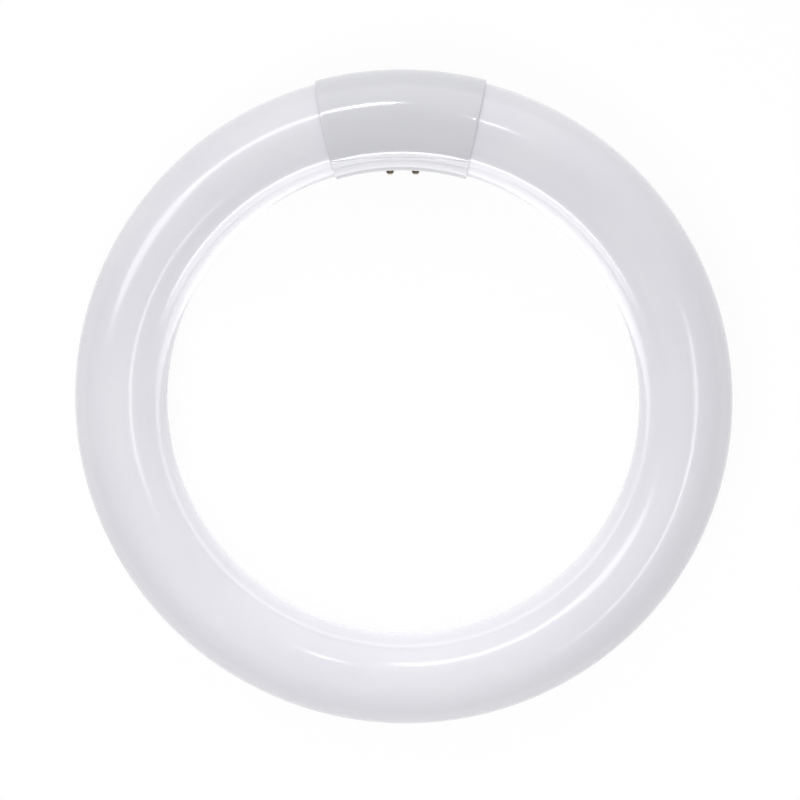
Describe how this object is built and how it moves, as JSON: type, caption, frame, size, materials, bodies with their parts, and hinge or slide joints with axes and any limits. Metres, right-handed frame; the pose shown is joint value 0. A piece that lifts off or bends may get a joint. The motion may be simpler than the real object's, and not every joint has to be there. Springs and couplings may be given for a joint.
{
  "type": "ring fluorescent lamp",
  "caption": "Ring-shaped white fluorescent tube closed by a plastic base whose contact pins plug into a lamp holder.",
  "frame": {"origin": "centre of the ring, on the mid-plane of the glass tube", "axes": "+Z is the ring's axis and points up from the side without pins, +Y runs from the centre to the base, +X to the right seen from above"},
  "size_m": [0.2032, 0.2041, 0.0325],
  "materials": {
    "coated_glass": "glossy glass, opaque white from the powder inside",
    "base_plastic": "moulded, glossy, cool white",
    "pin_brass": "drawn, bright",
    "lead_metal": "drawn nickel-plated wire",
    "sleeving": "soft, off-white"
  },
  "bodies": {
    "root": {"glass_tube": "coated_glass", "base_front_shell": "base_plastic", "base_pin_shell": "base_plastic", "contact_pin_1": "pin_brass", "contact_pin_2": "pin_brass", "contact_pin_3": "pin_brass", "contact_pin_4": "pin_brass", "lead_wire_1": "lead_metal", "lead_wire_2": "lead_metal", "lead_wire_3": "lead_metal", "lead_wire_4": "lead_metal", "lead_sleeving_1": "sleeving", "lead_sleeving_2": "sleeving", "lead_sleeving_3": "sleeving", "lead_sleeving_4": "sleeving"}
  },
  "joints": []
}
